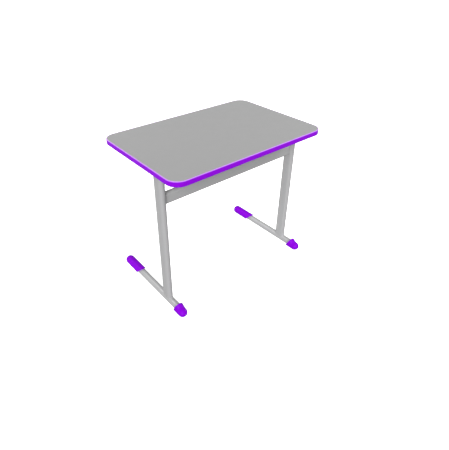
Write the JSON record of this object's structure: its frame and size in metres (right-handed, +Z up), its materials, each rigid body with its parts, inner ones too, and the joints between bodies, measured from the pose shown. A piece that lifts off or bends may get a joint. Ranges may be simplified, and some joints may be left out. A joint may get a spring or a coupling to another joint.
{
  "type": "school desk",
  "caption": "Pupil's desk: grey laminated top with rounded corners and a purple edge band on a grey T-leg tube frame with a crossbar, purple foot caps and levelling feet.",
  "frame": {"origin": "on the floor under the middle of the top, which is the middle of the bounding box's base", "axes": "+X along the long edge of the top to the right-hand side frame, -Y towards the crossbar side, +Z up"},
  "size_m": [0.75, 0.5, 0.64],
  "materials": {
    "chipboard": "matt raw chipboard",
    "top_laminate": "fine-textured grey laminate",
    "underside_laminate": "plain balancing sheet",
    "edge_band": "satin purple plastic with rounded arrises",
    "frame_paint": "light grey powder coat, slight orange peel",
    "cap_plastic": "satin moulded purple plastic",
    "plug_plastic": "black moulded plastic",
    "zinc_steel": "bright zinc-plated steel",
    "nut_brass": "turned brass",
    "pad_plastic": "black hard plastic"
  },
  "bodies": {
    "desk": {"tabletop_core": "chipboard", "top_laminate": "top_laminate", "underside_laminate": "underside_laminate", "edge_band": "edge_band", "left_upright": "frame_paint", "right_upright": "frame_paint", "left_top_arm": "frame_paint", "right_top_arm": "frame_paint", "left_foot_tube": "frame_paint", "right_foot_tube": "frame_paint", "crossbar": "frame_paint", "left_front_cap": "cap_plastic", "right_front_cap": "cap_plastic", "left_rear_cap": "cap_plastic", "right_rear_cap": "cap_plastic", "left_arm_front_plug": "plug_plastic", "left_arm_rear_plug": "plug_plastic", "right_arm_front_plug": "plug_plastic", "right_arm_rear_plug": "plug_plastic", "top_screws": "zinc_steel", "cap_rivets": "zinc_steel", "left_leveller_nut": "nut_brass", "right_leveller_nut": "nut_brass"},
    "left_pad": {"left_leveller_pad": "pad_plastic"},
    "left_stud": {"left_leveller_stud": "zinc_steel"},
    "right_pad": {"right_leveller_pad": "pad_plastic"},
    "right_stud": {"right_leveller_stud": "zinc_steel"}
  },
  "joints": [
    {"name": "left_pad_travel", "type": "slide", "parent": "desk", "child": "left_pad", "axis": [0, 0, -1], "range_m": [0, 0.01]},
    {"name": "left_stud_turn", "type": "hinge", "parent": "left_pad", "child": "left_stud", "pos_m": [-0.345, -0.208, 0.0061], "axis": [0, 0, -1], "range_deg": [0, 2880]},
    {"name": "right_pad_travel", "type": "slide", "parent": "desk", "child": "right_pad", "axis": [0, 0, -1], "range_m": [0, 0.01]},
    {"name": "right_stud_turn", "type": "hinge", "parent": "right_pad", "child": "right_stud", "pos_m": [0.345, -0.208, 0.0061], "axis": [0, 0, -1], "range_deg": [0, 2880]}
  ],
  "couplings": [
    {"joint": "left_stud_turn", "follows": "left_pad_travel", "rad_per_m": 5026.5},
    {"joint": "right_stud_turn", "follows": "right_pad_travel", "rad_per_m": 5026.5}
  ]
}
